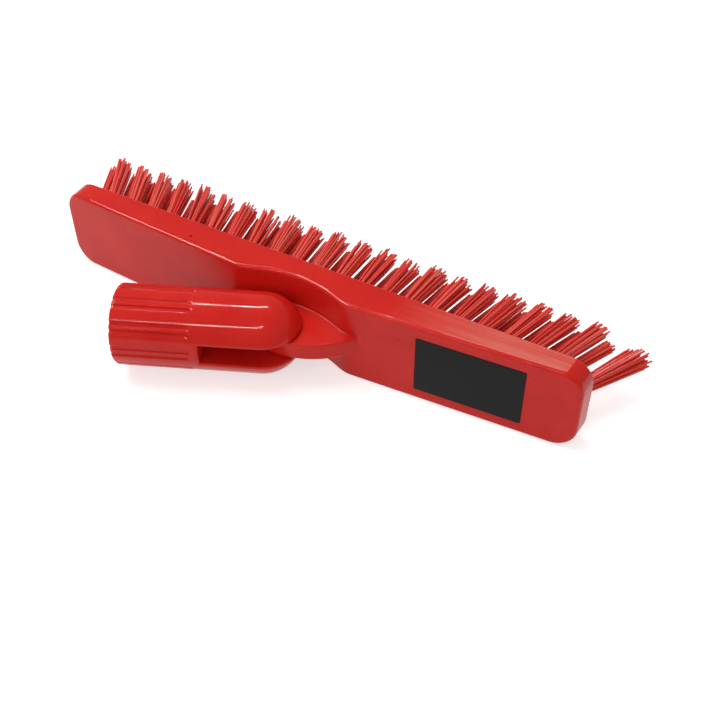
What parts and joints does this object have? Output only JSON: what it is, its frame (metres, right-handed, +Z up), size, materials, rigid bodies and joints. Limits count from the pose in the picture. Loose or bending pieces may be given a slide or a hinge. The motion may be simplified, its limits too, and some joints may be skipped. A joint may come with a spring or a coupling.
{
  "type": "grout brush",
  "caption": "Long narrow scrubbing block with two rows of stiff fanned tufts and a grooved pole socket that swivels on a half-round tongue behind it.",
  "frame": {"origin": "on the lower long side wall of the block, in the middle of its length, 5 mm behind the bristle face", "axes": "+X along the block towards the label end, +Y towards the bristle tips, +Z up, across the width of the block, which lies on one long side wall"},
  "size_m": [0.2484, 0.0963, 0.035],
  "materials": {
    "block_plastic": "moulded, smooth, semi-gloss red",
    "socket_plastic": "moulded, smooth, semi-gloss red",
    "bristle_fibre": "stiff extruded red filament, slightly translucent",
    "label_film": "plain black self-adhesive film",
    "pin_steel": "turned steel pin",
    "anchor_wire": "flat drawn wire"
  },
  "bodies": {
    "brush": {"brush_block": "block_plastic", "blank_label": "label_film", "tuft_anchors": "anchor_wire", "lower_tuft_1": "bristle_fibre", "lower_tuft_2": "bristle_fibre", "lower_tuft_3": "bristle_fibre", "lower_tuft_4": "bristle_fibre", "lower_tuft_5": "bristle_fibre", "lower_tuft_6": "bristle_fibre", "lower_tuft_7": "bristle_fibre", "lower_tuft_8": "bristle_fibre", "lower_tuft_9": "bristle_fibre", "lower_tuft_10": "bristle_fibre", "lower_tuft_11": "bristle_fibre", "lower_tuft_12": "bristle_fibre", "lower_tuft_13": "bristle_fibre", "lower_tuft_14": "bristle_fibre", "lower_tuft_15": "bristle_fibre", "lower_tuft_16": "bristle_fibre", "lower_tuft_17": "bristle_fibre", "lower_tuft_18": "bristle_fibre", "lower_tuft_19": "bristle_fibre", "lower_tuft_20": "bristle_fibre", "lower_tuft_21": "bristle_fibre", "lower_tuft_22": "bristle_fibre", "lower_tuft_23": "bristle_fibre", "upper_tuft_1": "bristle_fibre", "upper_tuft_2": "bristle_fibre", "upper_tuft_3": "bristle_fibre", "upper_tuft_4": "bristle_fibre", "upper_tuft_5": "bristle_fibre", "upper_tuft_6": "bristle_fibre", "upper_tuft_7": "bristle_fibre", "upper_tuft_8": "bristle_fibre", "upper_tuft_9": "bristle_fibre", "upper_tuft_10": "bristle_fibre", "upper_tuft_11": "bristle_fibre", "upper_tuft_12": "bristle_fibre", "upper_tuft_13": "bristle_fibre", "upper_tuft_14": "bristle_fibre", "upper_tuft_15": "bristle_fibre", "upper_tuft_16": "bristle_fibre", "upper_tuft_17": "bristle_fibre", "upper_tuft_18": "bristle_fibre", "upper_tuft_19": "bristle_fibre", "upper_tuft_20": "bristle_fibre", "upper_tuft_21": "bristle_fibre"},
    "handle": {"handle_socket": "socket_plastic", "pivot_pin": "pin_steel"}
  },
  "joints": [
    {"name": "handle_swivel", "type": "hinge", "parent": "brush", "child": "handle", "pos_m": [0, -0.01834, 0.0175], "axis": [0, 0, 1], "range_deg": [0, 132]}
  ]
}
